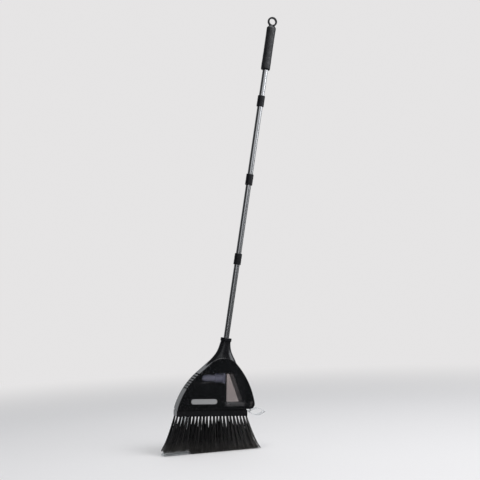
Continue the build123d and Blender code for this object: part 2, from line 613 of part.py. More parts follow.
def battery_contacts():
    """Spring and plate contacts at both ends of the cells."""
    pieces = []
    for i in range(CELLS):
        z = CELL_Z0 + i * CELL_PITCH
        for end, side in ((CELL_X0, 1), (CELL_X0 + CELL_LENGTH, -1)):
            wall = end - side * 3.5
            plate = block(min(wall, wall + side * 0.4), max(wall, wall + side * 0.4),
                          CELL_Y - 5, CELL_Y + 5, z - 5, z + 5)
            bump = rod_x(2.4, min(wall, end), max(wall, end), CELL_Y, z)
            pieces.append(plate + bump)
    return Compound(children=pieces)


def battery_door():
    """Sliding door in the back that leaves downwards, with side rails and thumb ribs."""
    door = block(DOOR_X0, DOOR_X1, REAR_Y - DOOR_THICK + 0.2, REAR_Y, HOUSING_BOTTOM, DOOR_Z1)
    door += block(DOOR_X0 - RAIL_REACH, DOOR_X1 + RAIL_REACH, RAIL_Y0, RAIL_Y1, HOUSING_BOTTOM, DOOR_Z1)
    for i in range(6):
        z = 84 + 3.6 * i
        door += block(-44, -16, REAR_Y - 0.5, REAR_Y + 0.9, z, z + 1.4)
    return door


# ---- assembly ------------------------------------------------------------------------------

def handle_pieces():
    """Pieces drawn in the handle frame."""
    pieces = {"neck_collar": neck_collar(), "foam_grip": foam_grip(), "hang_eye": hang_eye()}
    for i in range(JOINTS + 1):
        pieces[f"handle_tube_{i + 1}"] = handle_tube(i)
    for i in range(JOINTS):
        pieces[f"coupling_collar_{i + 1}"] = coupling_collar(i)
        pieces[f"thread_insert_{i + 1}"] = thread_insert(i)
        pieces[f"thread_stud_{i + 1}"] = thread_stud(i)
    return pieces


def head_pieces():
    """Pieces drawn in the head frame."""
    makers = [
        front_shell, rear_shell, smoked_cover, rear_window, name_plate, housing_screws, brush_block,
        bristle_core, suction_nozzle, nozzle_spring, trigger_switch, switch_plunger, suction_duct,
        dust_chamber, inlet_flap, filter_frame, filter_pad, fan_shroud, impeller, motor_shaft,
        fan_motor, motor_fairing, dust_drawer, battery_tray, battery_contacts, battery_door,
    ]
    pieces = {make.__name__: make() for make in makers}
    pieces["bristle_row_front"] = bristle_row(-ROW_OUTER, -ROW_INNER)
    pieces["bristle_row_rear"] = bristle_row(ROW_INNER, ROW_OUTER)
    for i in range(CELLS):
        pieces[f"battery_cell_{i + 1}"] = battery_cell(i)
    return pieces


def frames():
    """Where the head frame and the handle frame lie; X = 0 is set halfway across the part."""
    slope = math.radians(BLOCK_SLOPE)
    lean = math.radians(HANDLE_LEAN)
    collar_x = NECK_X * math.cos(slope) + NECK_Z * math.sin(slope)
    collar_z = BLOCK_HEIGHT - NECK_X * math.sin(slope) + NECK_Z * math.cos(slope)
    right = collar_x + EYE_Z * math.sin(lean) + EYE_R
    left = MOUTH_X0 * math.cos(slope) + floor_at(MOUTH_X0, FLOOR_GAP) * math.sin(slope)
    middle = (right + left) / 2
    head = Location((-middle, 0, BLOCK_HEIGHT), (0, BLOCK_SLOPE, 0))
    handle = Location((collar_x - middle, 0, collar_z), (0, HANDLE_LEAN, 0))
    return head, handle


def build():
    """All nodes in the part's own frame."""
    head, handle = frames()
    nodes = {name: head * piece for name, piece in head_pieces().items()}
    nodes.update({name: handle * piece for name, piece in handle_pieces().items()})
    return nodes


NODES = build()
os.makedirs("parts", exist_ok=True)
for node_name, node_shape in NODES.items():
    export_step(node_shape, f"parts/{node_name}.step")
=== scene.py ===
import math
import json

import bpy
import numpy as np
from mathutils import Matrix, Vector, noise

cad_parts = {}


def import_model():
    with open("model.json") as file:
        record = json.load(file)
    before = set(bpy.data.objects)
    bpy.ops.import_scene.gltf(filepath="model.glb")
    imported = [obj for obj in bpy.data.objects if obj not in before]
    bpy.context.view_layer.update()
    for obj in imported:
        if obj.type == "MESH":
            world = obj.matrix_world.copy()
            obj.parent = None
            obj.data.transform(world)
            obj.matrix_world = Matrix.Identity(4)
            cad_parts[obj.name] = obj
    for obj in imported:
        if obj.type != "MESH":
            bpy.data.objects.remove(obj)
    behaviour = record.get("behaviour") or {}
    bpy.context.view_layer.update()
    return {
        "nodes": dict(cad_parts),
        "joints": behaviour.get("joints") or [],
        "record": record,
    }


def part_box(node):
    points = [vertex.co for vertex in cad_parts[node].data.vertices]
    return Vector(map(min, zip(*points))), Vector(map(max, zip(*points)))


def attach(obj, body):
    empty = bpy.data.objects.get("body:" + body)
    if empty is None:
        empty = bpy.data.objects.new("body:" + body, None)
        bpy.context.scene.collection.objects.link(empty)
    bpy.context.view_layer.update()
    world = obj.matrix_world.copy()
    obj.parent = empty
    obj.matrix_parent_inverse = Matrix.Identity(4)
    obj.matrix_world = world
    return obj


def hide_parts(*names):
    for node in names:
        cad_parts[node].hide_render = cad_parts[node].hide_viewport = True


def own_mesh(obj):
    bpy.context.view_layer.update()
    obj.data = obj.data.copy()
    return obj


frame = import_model()
NODES = frame["nodes"]
MM = 0.001

# Everything is in metres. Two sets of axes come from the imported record: the brush head's, square
# to its bristle block, and the handle's, along the tube.
JOINTS = {joint["name"]: joint for joint in frame["joints"]}
MOUNTS = {mount["name"]: mount for mount in frame["record"]["mounts"]}
HEAD_UP = Vector(JOINTS["nozzle_press"]["axis"]).normalized()
HEAD_RIGHT = Vector((HEAD_UP.z, 0, -HEAD_UP.x))
DEPTH = Vector((0, 1, 0))
TUBE_UP = Vector(MOUNTS["clip_grip"]["axis"]).normalized()
TUBE_RIGHT = Vector((TUBE_UP.z, 0, -TUBE_UP.x))


def span(node, axis):
    """Lowest and highest reach of a CAD node along an axis."""
    reach = [v.co.dot(axis) for v in NODES[node].data.vertices]
    return min(reach), max(reach)


def head_frame():
    """Middle of the bristle block's underside."""
    low, high = span("brush_block", HEAD_RIGHT)
    return HEAD_RIGHT * ((low + high) / 2) + HEAD_UP * span("brush_block", HEAD_UP)[0]


# ---- stage ---------------------------------------------------------------------------------
PALE = (0.79, 0.78, 0.782)


def camera():
    """Low camera, about 15 degrees to the left of the broom's front, with a slight roll."""
    place = Vector((-0.8953, -3.591, 0.585))
    heading, rise, roll = math.radians(15.0), math.radians(2.01), math.radians(-2.85)
    flat = math.cos(rise)
    look = Vector((math.sin(heading) * flat, math.cos(heading) * flat, math.sin(rise)))
    level = Vector((math.cos(heading), -math.sin(heading), 0))
    over = level.cross(look)
    right = math.cos(roll) * level + math.sin(roll) * over
    up = math.cos(roll) * over - math.sin(roll) * level
    data = bpy.data.cameras.new("camera")
    data.sensor_width = 36.0
    data.lens = 80.55
    data.clip_end = 100.0
    cam = bpy.data.objects.new("camera", data)
    bpy.context.scene.collection.objects.link(cam)
    cam.matrix_world = Matrix.Translation(place) @ Matrix((right, up, -look)).transposed().to_4x4()
    bpy.context.scene.camera = cam


def world():
    """Pale backdrop for the camera. For everything else, a room with a pale wall behind the broom,
    a bright front, a dim right side with a low window, a pale ceiling and a dark left side."""
    sky = bpy.data.worlds.new("room")
    bpy.context.scene.world = sky
    sky.use_nodes = True
    tree = sky.node_tree
    tree.nodes.clear()

    def make(kind, **props):
        node = tree.nodes.new(kind)
        for key, value in props.items():
            setattr(node, key, value)
        return node

    def math_node(operation, a, b):
        node = make("ShaderNodeMath", operation=operation)
        for socket, value in zip(node.inputs, (a, b)):
            if isinstance(value, (int, float)):
                socket.default_value = value
            else:
                tree.links.new(value, socket)
        return node.outputs[0]

    def step(value, low, high):
        """0 below low, 1 above high, smooth between; low may be the greater."""
        node = make("ShaderNodeMapRange", interpolation_type="SMOOTHSTEP")
        node.inputs["From Min"].default_value = low
        node.inputs["From Max"].default_value = high
        tree.links.new(value, node.inputs["Value"])
        return node.outputs[0]

    coords = make("ShaderNodeTexCoord")
    parts = make("ShaderNodeSeparateXYZ")
    tree.links.new(coords.outputs["Generated"], parts.inputs[0])
    x, y, z = parts.outputs
    turn = math_node("ARCTAN2", x, math_node("MULTIPLY", y, -1.0))

    def sector(low, high, soft=6):
        """1 between two bearings in degrees, counted from the front towards +X."""
        rise = step(turn, math.radians(low - soft), math.radians(low + soft))
        return math_node("MULTIPLY", rise, step(turn, math.radians(high + soft), math.radians(high - soft)))

    front = sector(-34, 46, 10)
    bright = math_node("MULTIPLY", front, step(z, 0.05, 0.2))
    softer = math_node("MULTIPLY", front, step(z, 0.2, 0.3))
    window = math_node("MULTIPLY", sector(52, 82, 5), step(z, -0.02, 0.05))
    window = math_node("MULTIPLY", window, step(z, 0.25, 0.17))
    side = math_node("MULTIPLY", sector(46, 140), step(z, -0.2, 0.1))
    wall = math_node("MULTIPLY", step(y, 0.6, 0.8), step(z, -0.5, -0.3))
    top = step(z, 0.8, 0.95)
    glow = 0.045
    areas = ((bright, 0.98), (softer, -0.42), (window, 3.8), (side, 0.38), (wall, 0.5), (top, 0.5))
    for area, strength in areas:
        glow = math_node("ADD", math_node("MULTIPLY", area, strength), glow)
    room = make("ShaderNodeBackground")
    room.inputs["Color"].default_value = (0.93, 0.96, 1.0, 1)
    tree.links.new(glow, room.inputs["Strength"])
    seen = make("ShaderNodeBackground")
    seen.inputs["Color"].default_value = (*PALE, 1)
    path = make("ShaderNodeLightPath")
    mix = make("ShaderNodeMixShader")
    straight = math_node("MAXIMUM", path.outputs["Is Camera Ray"], path.outputs["Is Transmission Ray"])
    tree.links.new(straight, mix.inputs["Fac"])
    tree.links.new(room.outputs[0], mix.inputs[1])
    tree.links.new(seen.outputs[0], mix.inputs[2])
    out = make("ShaderNodeOutputWorld")
    tree.links.new(mix.outputs[0], out.inputs["Surface"])


def lamp(name, place, target, size, power, colour):
    """Soft rectangular light that faces a point."""
    data = bpy.data.lights.new(name, "AREA")
    data.shape = "RECTANGLE"
    data.size, data.size_y = size
    data.energy = power
    data.color = colour
    light = bpy.data.objects.new(name, data)
    bpy.context.scene.collection.objects.link(light)
    light.location = place
    light.rotation_euler = (Vector(target) - Vector(place)).to_track_quat("-Z", "Y").to_euler()


def lights():
    """Key softbox from the right front and a broad ceiling panel."""
    lamp("key", (1.9, -2.0, 3.1), (0, 0, 0.6), (1.6, 1.6), 60, (0.97, 0.97, 1.0))
    lamp("ceiling", (0.1, -0.5, 3.3), (0, 0, 0.4), (2.4, 2.0), 45, (1, 1, 1))


def floor():
    """Pale round floor, just under the tips, that fades into the backdrop at its rim."""
    radius, fade_from, fade_to, under = 3.4, 0.35, 0.97, 0.5 * MM
    bpy.ops.mesh.primitive_circle_add(vertices=96, radius=radius, fill_type="NGON", location=(0, 0, -under))
    plane = bpy.context.object
    plane.name = "floor"
    plane.visible_glossy = False
    surface = Surface("floor", (0.80, 0.79, 0.785), 0.75)
    grain = surface.noise(90, 3)
    surface.colour(grain, (0.79, 0.775, 0.77), (0.81, 0.80, 0.795))
    tree = surface.tree
    distance = tree.nodes.new("ShaderNodeVectorMath")
    distance.operation = "LENGTH"
    tree.links.new(surface.coords(), distance.inputs[0])
    fade = surface.spread(distance.outputs["Value"], fade_from * radius, fade_to * radius, 0, 1)
    glow = tree.nodes.new("ShaderNodeEmission")
    glow.inputs["Color"].default_value = (*PALE, 1)
    mix = tree.nodes.new("ShaderNodeMixShader")
    tree.links.new(fade, mix.inputs["Fac"])
    tree.links.new(surface.shader.outputs[0], mix.inputs[1])
    tree.links.new(glow.outputs[0], mix.inputs[2])
    tree.links.new(mix.outputs[0], tree.nodes["Material Output"].inputs["Surface"])
    plane.data.materials.append(surface.material)


# ---- materials -----------------------------------------------------------------------------

class Surface:
    """Principled material whose textures are laid out in the part's own metres."""

    def __init__(self, name, colour, roughness, metallic=0.0, **sockets):
        self.material = bpy.data.materials.new(name)
        self.material.use_nodes = True
        self.tree = self.material.node_tree
        self.shader = self.tree.nodes["Principled BSDF"]
        self.set("Base Color", (*colour, 1))
        self.set("Roughness", roughness)
        self.set("Metallic", metallic)
        for key, value in sockets.items():
            self.set(key.replace("_", " "), value)
        self.relief = None

    def set(self, socket, value):
        self.shader.inputs[socket].default_value = value

    def feed(self, value, socket):
        self.tree.links.new(value, self.shader.inputs[socket])

    def coords(self, along=None, scale=(1, 1, 1)):
        """Object coordinates, turned so that Z runs along an axis of the XZ plane, then scaled."""
        source = self.tree.nodes.new("ShaderNodeTexCoord").outputs["Object"]
        if along is not None:
            turn = self.tree.nodes.new("ShaderNodeMapping")
            turn.inputs["Rotation"].default_value = (0, -math.atan2(along.x, along.z), 0)
            self.tree.links.new(source, turn.inputs["Vector"])
            source = turn.outputs[0]
        if scale != (1, 1, 1):
            stretch = self.tree.nodes.new("ShaderNodeMapping")
            stretch.inputs["Scale"].default_value = scale
            self.tree.links.new(source, stretch.inputs["Vector"])
            source = stretch.outputs[0]
        return source

    def noise(self, scale, detail, along=None, stretch=(1, 1, 1)):
        """Cloudy pattern from 0 to 1; scale is in features for each metre."""
        node = self.tree.nodes.new("ShaderNodeTexNoise")
        node.inputs["Scale"].default_value = scale
        node.inputs["Detail"].default_value = detail
        self.tree.links.new(self.coords(along, stretch), node.inputs["Vector"])
        return node.outputs["Fac"]

    def cells(self, scale):
        """Distance to scattered points, for pores and grain."""
        node = self.tree.nodes.new("ShaderNodeTexVoronoi")
        node.inputs["Scale"].default_value = scale
        self.tree.links.new(self.coords(), node.inputs["Vector"])
        return node.outputs["Distance"]

    def spread(self, value, low, high, out_low, out_high):
        """A value mapped from one range to another, smooth at both ends."""
        node = self.tree.nodes.new("ShaderNodeMapRange")
        node.interpolation_type = "SMOOTHSTEP"
        for socket, number in zip(list(node.inputs)[1:5], (low, high, out_low, out_high)):
            socket.default_value = number
        self.tree.links.new(value, node.inputs["Value"])
        return node.outputs[0]

    def math(self, operation, a, b):
        """Arithmetic on two node outputs."""
        node = self.tree.nodes.new("ShaderNodeMath")
        node.operation = operation
        self.tree.links.new(a, node.inputs[0])
        self.tree.links.new(b, node.inputs[1])
        return node.outputs[0]

    def colour(self, factor, low, high):
        """Base colour between two, by a factor."""
        node = self.tree.nodes.new("ShaderNodeMix")
        node.data_type = "RGBA"
        node.inputs["A"].default_value = (*low, 1)
        node.inputs["B"].default_value = (*high, 1)
        self.tree.links.new(factor, node.inputs["Factor"])
        self.feed(node.outputs["Result"], "Base Color")

    def bump(self, height, depth, strength=1.0):
        """Adds relief, with its depth in metres."""
        node = self.tree.nodes.new("ShaderNodeBump")
        node.inputs["Strength"].default_value = strength
        node.inputs["Distance"].default_value = depth
        self.tree.links.new(height, node.inputs["Height"])
        if self.relief is not None:
            self.tree.links.new(self.relief, node.inputs["Normal"])
        self.relief = node.outputs[0]
        self.feed(self.relief, "Normal")


def tube_steel():
    """Chromed tube: fine drawn lines along it and faint wipe marks."""
    s = Surface("chromed_tube", (0.58, 0.58, 0.59), 0.22, 1.0)
    wipes = s.noise(5, 3, TUBE_UP, (1, 1, 0.3))
    s.feed(s.spread(wipes, 0.3, 0.75, 0.19, 0.26), "Roughness")
    s.colour(s.noise(900, 2, TUBE_UP, (1, 1, 0.004)), (0.56, 0.56, 0.57), (0.61, 0.605, 0.605))
    return s


def satin_plastic(name, colour, roughness):
    """Moulded plastic with a fine spark-eroded grain and slightly rubbed patches."""
    s = Surface(name, colour, roughness, Specular_IOR_Level=0.33)
    rub = s.noise(30, 4)
    s.feed(s.spread(rub, 0.35, 0.7, roughness - 0.08, roughness + 0.1), "Roughness")
    s.colour(rub, colour, tuple(1.5 * c for c in colour))
    s.bump(s.cells(2600), 0.00003, 0.4)
    return s


def gloss_plastic():
    """Glossy moulded housing: faint flow waviness, uneven polish, thin dust."""
    s = Surface("glossy_black", (0.012, 0.012, 0.013), 0.13, Specular_IOR_Level=0.42)
    haze = s.noise(22, 5)
    s.feed(s.spread(haze, 0.3, 0.75, 0.1, 0.24), "Roughness")
    s.colour(s.spread(s.noise(60, 6), 0.5, 0.9, 0, 1), (0.009, 0.009, 0.010), (0.02, 0.0195, 0.0195))
    s.bump(s.noise(55, 1), 0.0003, 0.05)
    return s


def pane(name):
    """See-through panel with a sharp gloss and a faint haze, and the socket of its tint."""
    haze = (0.006, 0.0065, 0.007)
    s = Surface(name, haze, 0.05)
    tree = s.tree
    clear = tree.nodes.new("ShaderNodeBsdfTransparent")
    film = tree.nodes.new("ShaderNodeBsdfDiffuse")
    film.inputs["Color"].default_value = (*haze, 1)
    both = tree.nodes.new("ShaderNodeAddShader")
    gloss = tree.nodes.new("ShaderNodeBsdfAnisotropic")
    gloss.inputs["Color"].default_value = (1, 1, 1, 1)
    gloss.inputs["Roughness"].default_value = 0.06
    fresnel = tree.nodes.new("ShaderNodeFresnel")
    fresnel.inputs["IOR"].default_value = 1.49
    mix = tree.nodes.new("ShaderNodeMixShader")
    tree.links.new(clear.outputs[0], both.inputs[0])
    tree.links.new(film.outputs[0], both.inputs[1])
    tree.links.new(fresnel.outputs[0], mix.inputs["Fac"])
    tree.links.new(both.outputs[0], mix.inputs[1])
    tree.links.new(gloss.outputs[0], mix.inputs[2])
    tree.links.new(mix.outputs[0], tree.nodes["Material Output"].inputs["Surface"])
    tree.nodes.remove(s.shader)
    return s, clear.inputs["Color"]


def smoked_window():
    """Light brown-grey pane of the sight window."""
    s, tint = pane("smoked_window")
    tint.default_value = (0.70, 0.665, 0.655, 1)
    return s


def smoked_cover():
    """Front panel: clear over the fan and the dust window, tinted black elsewhere."""
    s, tint_socket = pane("smoked_cover")
    tree = s.tree

    def span_mask(value, low, high, soft=6 * MM):
        """1 between two places, fading over a soft edge."""
        rise = s.spread(value, low - soft, low, 0, 1)
        fall = s.spread(value, high, high + soft, 1, 0)
        return s.math("MULTIPLY", rise, fall)

    origin = head_frame()
    x0, z0 = origin.dot(HEAD_RIGHT), origin.dot(HEAD_UP)
    parts = tree.nodes.new("ShaderNodeSeparateXYZ")
    tree.links.new(s.coords(HEAD_UP), parts.inputs[0])
    fan_zone = s.math("MULTIPLY", span_mask(parts.outputs["X"], x0 - 38 * MM, x0 + 50 * MM),
                      span_mask(parts.outputs["Z"], z0 + 114 * MM, z0 + 146 * MM))
    dust_zone = s.math("MULTIPLY", span_mask(parts.outputs["X"], x0 + 44 * MM, x0 + 110 * MM),
                       span_mask(parts.outputs["Z"], z0 + 36 * MM, z0 + 146 * MM))
    tint = tree.nodes.new("ShaderNodeMix")
    tint.data_type = "RGBA"
    tint.inputs["A"].default_value = (0.36, 0.34, 0.335, 1)
    tint.inputs["B"].default_value = (0.885, 0.87, 0.87, 1)
    tree.links.new(s.math("MAXIMUM", fan_zone, dust_zone), tint.inputs["Factor"])
    tree.links.new(tint.outputs["Result"], tint_socket)
    return s


def clear_plastic(name):
    """Clear styrene, a little hazy in patches."""
    s = Surface(name, (0.93, 0.95, 0.96), 0.06, Transmission_Weight=0.86, IOR=1.5)
    s.feed(s.spread(s.noise(70, 4), 0.4, 0.8, 0.04, 0.16), "Roughness")
    s.bump(s.noise(120, 2), 0.0002, 0.15)
    return s


def scuffed_plastic():
    """Clear styrene of the nozzle, rubbed white near the floor."""
    s = clear_plastic("scuffed_clear_plastic")
    parts = s.tree.nodes.new("ShaderNodeSeparateXYZ")
    s.tree.links.new(s.coords(HEAD_UP), parts.inputs[0])
    floor_end = span("suction_nozzle", HEAD_UP)[0]
    worn = s.spread(parts.outputs["Z"], floor_end + 10 * MM, floor_end + 35 * MM, 0.42, 0.9)
    s.feed(worn, "Transmission Weight")
    return s


def foam():
    """Closed-cell foam with a smooth skin: fine pores, patchily greyed by hands."""
    s = Surface("foam", (0.010, 0.010, 0.0115), 0.45, Specular_IOR_Level=0.6)
    pores = s.cells(1150)
    s.colour(s.spread(s.noise(40, 5), 0.3, 0.75, 0, 1), (0.007, 0.007, 0.0085), (0.014, 0.014, 0.016))
    s.feed(s.spread(pores, 0.1, 0.5, 0.55, 0.38), "Roughness")
    s.bump(s.spread(pores, 0.05, 0.45, 0, 1), 0.00012, 0.35)
    s.bump(s.noise(160, 3), 0.0004, 0.25)
    return s


def bristle():
    """Black polyester filament: glossy, paler and duller where its point attribute is high; that attribute
    holds worn pale tips and a painted sheen down the tufts.
    """
    s = Surface("bristle", (0.012, 0.012, 0.013), 0.28, Specular_IOR_Level=0.65)
    shade = s.tree.nodes.new("ShaderNodeAttribute")
    shade.attribute_name = "wear_and_sheen"
    # paler where the attribute is high: worn tips, and the painted sheen
    s.colour(shade.outputs["Fac"], (0.006, 0.006, 0.007), (0.15, 0.14, 0.13))
    s.feed(s.spread(shade.outputs["Fac"], 0.0, 0.8, 0.26, 0.6), "Roughness")
    return s


def badge():
    """Plain satin badge with a fine brushed finish."""
    s = Surface("badge", (0.30, 0.30, 0.30), 0.4, Coat_Weight=0.3, Coat_Roughness=0.1)
    lines = s.noise(1600, 2, HEAD_UP, (0.02, 1, 1))
    s.colour(lines, (0.26, 0.26, 0.26), (0.34, 0.34, 0.34))
    s.bump(lines, 0.00003, 0.4)
    return s


def zinc():
    """Bright zinc plating with a fine spangle."""
    s = Surface("zinc_plate", (0.62, 0.63, 0.64), 0.3, 1.0)
    spangle = s.cells(420)
    s.colour(s.spread(spangle, 0, 0.7, 0, 1), (0.52, 0.53, 0.54), (0.70, 0.71, 0.72))
    s.feed(s.spread(s.noise(180, 3), 0.3, 0.7, 0.22, 0.42), "Roughness")
    return s


def felt():
    """Filter paper: fibres and a warm grey."""
    s = Surface("filter_paper", (0.62, 0.60, 0.55), 0.95, Sheen_Weight=0.2)
    fibres = s.noise(700, 6)
    s.colour(fibres, (0.50, 0.48, 0.43), (0.72, 0.70, 0.65))
    s.bump(fibres, 0.0002, 0.6)
    return s


def cell_jacket():
    """Shrink sleeve of a rechargeable cell, plain green and slightly wrinkled."""
    s = Surface("cell_jacket", (0.03, 0.16, 0.10), 0.28, Coat_Weight=0.4)
    s.colour(s.noise(90, 3), (0.025, 0.14, 0.085), (0.04, 0.19, 0.12))
    s.bump(s.noise(260, 2), 0.0001, 0.2)
    return s


def dress(surface, *names):
    """Gives CAD nodes a material in place of their plain one."""
    for name in names:
        mesh = NODES[name].data
        mesh.materials.clear()
        mesh.materials.append(surface.material)
        mesh.polygons.foreach_set("material_index", [0] * len(mesh.polygons))


def dress_nodes():
    """A material for every CAD node that isn't replaced."""
    dress(tube_steel(), *[name for name in NODES if name.startswith("handle_tube")])
    satin = satin_plastic("satin_black", (0.006, 0.0062, 0.0075), 0.32)
    dress(satin, *[name for name in NODES if name.startswith(("coupling_collar", "thread_"))])
    dress(satin_plastic("dull_black", (0.004, 0.004, 0.005), 0.42), "hang_eye")
    dress(satin, "neck_collar", "battery_tray", "battery_door", "suction_duct", "dust_chamber",
          "switch_plunger", "inlet_flap")
    gloss = gloss_plastic()
    dress(gloss, "front_shell", "rear_shell", "brush_block")
    dress(smoked_cover(), "smoked_cover")
    dress(smoked_window(), "rear_window")
    dress(clear_plastic("clear_plastic"), "dust_drawer")
    dress(scuffed_plastic(), "suction_nozzle")
    # bright bluish grey: the parts' own pale tone, brightened and tinted blue as painted light for window
    # light reflected off them behind the smoked cover
    dress(satin_plastic("grey_moulding_and_painted_glint", (0.48, 0.51, 0.66), 0.19), "motor_fairing", "fan_shroud", "impeller",
          "filter_frame", "trigger_switch")
    dress(badge(), "name_plate")
    dress(zinc(), "housing_screws", "fan_motor", "motor_shaft", "battery_contacts")
    dress(cell_jacket(), *[name for name in NODES if name.startswith("battery_cell")])


# ---- pieces --------------------------------------------------------------------------------

def piece(name, vertices, faces, surface, body, slot, *stands_for):
    """New mesh piece on a body, in place of CAD nodes."""
    mesh = bpy.data.meshes.new(name)
    mesh.from_pydata([tuple(v) for v in vertices], [], faces)
    mesh.validate()
    obj = bpy.data.objects.new(name, mesh)
    bpy.context.scene.collection.objects.link(obj)
    mesh.materials.append(surface.material)
    mesh.polygons.foreach_set("use_smooth", [True] * len(mesh.polygons))
    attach(obj, body)
    if stands_for:
        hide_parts(*stands_for)
    return obj


# ---- bristles ------------------------------------------------------------------------------
TUFT_PITCH, TUFT_JITTER = 11.5 * MM, 0.6 * MM
STAGGER = 0.24                                  # each tuft row is set this share of its depth to the right
TUFT_R, TUFT_SPREAD = 2.5 * MM, 11.5 * MM       # at the block and at the tips
TUFT_SPREAD_VARIES, FILAMENT_SPREAD_VARIES = 0.13, 0.14
TUFT_LEAN = 1.3 * MM
DEPTH_FAN, DEPTH_SPREAD = 1.12, 6.5 * MM        # how the tips open from front to back
DEPTH_LIMIT = 29.5 * MM
STRAY_X, STRAY_Y, STRAY_UP = 0.9 * MM, 1.2 * MM, 1.4 * MM
SWAY, SWAY_IN_DEPTH = 0.8 * MM, 0.6
INSIDE_LEFT, INSIDE_RIGHT = 6 * MM, 5 * MM      # how far the end tufts' middles stop inside the row's ends
NOZZLE_GAP = 2 * MM                             # bare strip past the nozzle's end
NOZZLE_MARGIN = 6 * MM                          # how far past that a tuft still counts as beside the nozzle
ROOT_UP = 1 * MM                                # filaments start this far up in the block
SHEEN_LINE_AT, SHEEN_LINE_WIDTH, SHEEN_LINE_FADE = -0.2, 0.33, (0.7, 1.3)      # painted sheen: a pale line down each tuft, stronger towards the right side, where the light comes from
ODD_SHARE, ODD_FADE, EVEN_FADE = 0.1, (0.15, 0.45), 0.1         # pale single filaments, and the rest
ROOT_SHADE = 0.45           # share of that paleness at the block; it darkens towards the block as painted shade
WORN_TIP, WORN_LEAST, WORN_POWER = 0.9, 0.2, 7  # pale tips, and how close to the tip they begin
FAN_POWER_LEFT, FAN_POWER_RIGHT = 1.1, 1.25     # how late the lean grows towards each end
SLOW_START = 0.3            # share of a filament's lean that grows with the square of its length
TIP_FLICK = 0.06            # share of an outer filament's lean that comes at its tip
FILAMENTS, FILAMENTS_BY_NOZZLE = 54, 70
FILAMENT_R, FILAMENT_TAPER = 0.5 * MM, 0.45
RINGS, SIDES = 8, 3
ROW_DEPTHS = [-21.5 * MM, -11.5 * MM, 0.0, 11.5 * MM, 21.5 * MM]
LIP_SIDE, THROAT_SIDE = 20.2 * MM, 9.4 * MM     # filaments at the nozzle keep clear of its lip and throat
OVER_LIP, OVER_FLOOR = 13.5 * MM, 10.5 * MM     # how high they end, over the lip and beside it


def filaments(rng, roots_x, row_y, shape):
    """One row's filaments in head axes: their centre lines as an array (filament, ring, xyz), and
    how pale each one is: random tone plus a painted sheen, a pale line down each tuft that is palest on the
    right side of the brush, where the light comes from."""
    tufts = len(roots_x)
    number = np.where(roots_x < shape["nozzle"], FILAMENTS_BY_NOZZLE, FILAMENTS)
    tuft = np.repeat(np.arange(tufts), number)
    count = len(tuft)
    centre_x = roots_x[tuft]
    tuft_spread = rng.normal(1.0, TUFT_SPREAD_VARIES, tufts)[tuft]
    tuft_lean = rng.normal(0, TUFT_LEAN, tufts)[tuft]
    angle = rng.uniform(0, 2 * math.pi, count)
    reach = np.sqrt(rng.uniform(0, 1, count))
    ux, uy = reach * np.cos(angle), reach * np.sin(angle)
    root = np.stack([centre_x + ux * TUFT_R, row_y + uy * TUFT_R, np.full(count, ROOT_UP)], axis=1)
    spread = TUFT_SPREAD * tuft_spread * rng.normal(1.0, FILAMENT_SPREAD_VARIES, count)
    tip_x = shape["fan"](centre_x) + ux * spread + tuft_lean + rng.normal(0, STRAY_X, count)
    tip_x = np.clip(tip_x, shape["left"], shape["right"])
    tip_y = row_y * DEPTH_FAN + uy * DEPTH_SPREAD + rng.normal(0, STRAY_Y, count)
    beside = tip_x < shape["nozzle"]
    side = -1 if row_y < 0 else 1
    tip_y = np.where(beside, side * np.maximum(np.abs(tip_y), THROAT_SIDE), tip_y)
    tip_y = np.clip(tip_y, -DEPTH_LIMIT, DEPTH_LIMIT)
    lift = np.where(np.abs(tip_y) > LIP_SIDE, OVER_FLOOR, OVER_LIP)
    stray = np.abs(rng.normal(0, STRAY_UP, count))
    tip_z = shape["floor"](tip_x) + stray + np.where(beside, lift, 0)
    s = np.linspace(0, 1, RINGS)[None, :]
    flick = TIP_FLICK * (np.abs(centre_x) / shape["half"])[:, None] ** 3
    ease = (1 - SLOW_START - flick) * s + SLOW_START * s ** 2 + flick * s ** 8
    lines = np.empty((count, RINGS, 3))
    lines[:, :, 0] = root[:, :1] + (tip_x - root[:, 0])[:, None] * ease
    lines[:, :, 1] = root[:, 1:2] + (tip_y - root[:, 1])[:, None] * s
    lines[:, :, 2] = root[:, 2:] + (tip_z - root[:, 2])[:, None] * s
    sway = rng.normal(0, SWAY, (count, 2))
    lines[:, :, 0] += sway[:, :1] * np.sin(math.pi * s)
    lines[:, :, 1] += sway[:, 1:] * np.sin(math.pi * s) * SWAY_IN_DEPTH
    # painted sheen: a pale line down each tuft, growing towards the right, where the light comes from
    sheen_rightward = np.clip(tip_x / shape["right"], 0, 1) ** 1.5
    painted_sheen = np.exp(-((ux - SHEEN_LINE_AT) / SHEEN_LINE_WIDTH) ** 2) * sheen_rightward * rng.uniform(*SHEEN_LINE_FADE, count)
    odd = (rng.uniform(0, 1, count) < ODD_SHARE) * rng.uniform(*ODD_FADE, count)
    return lines, rng.uniform(0, EVEN_FADE, count) + odd + painted_sheen


